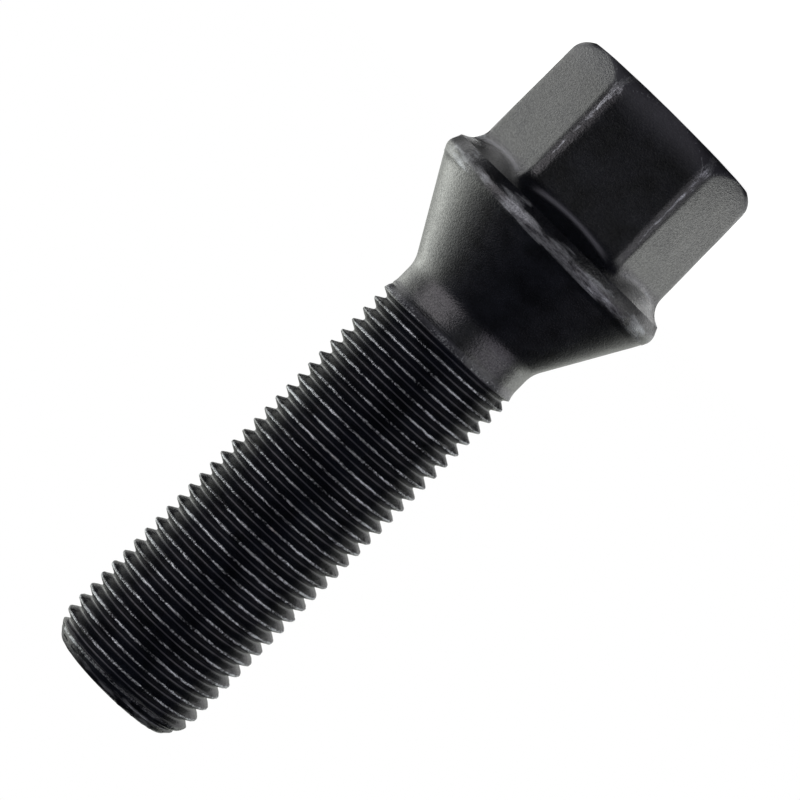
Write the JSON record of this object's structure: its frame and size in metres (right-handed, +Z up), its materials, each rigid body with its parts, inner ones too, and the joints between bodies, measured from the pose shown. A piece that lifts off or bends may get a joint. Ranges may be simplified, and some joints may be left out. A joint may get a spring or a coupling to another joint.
{
  "type": "wheel bolt",
  "caption": "Wheel bolt with a hexagon head, rounded rim, conical seat, plain neck and right-hand threaded shank with a rounded tip, in black oxide.",
  "frame": {"origin": "centre of the head's end face, on which the bolt stands", "axes": "+Z up the shank, from the head's end face to the tip; two of the hexagon's flats face -Y and +Y"},
  "size_m": [0.0228, 0.0228, 0.064],
  "materials": {
    "black_oxide_steel": "black oxide on forged and rolled steel, semi-gloss, worn bright along the hexagon's corners and the thread's crests"
  },
  "bodies": {
    "root": {"wheel_bolt": "black_oxide_steel"}
  },
  "joints": []
}
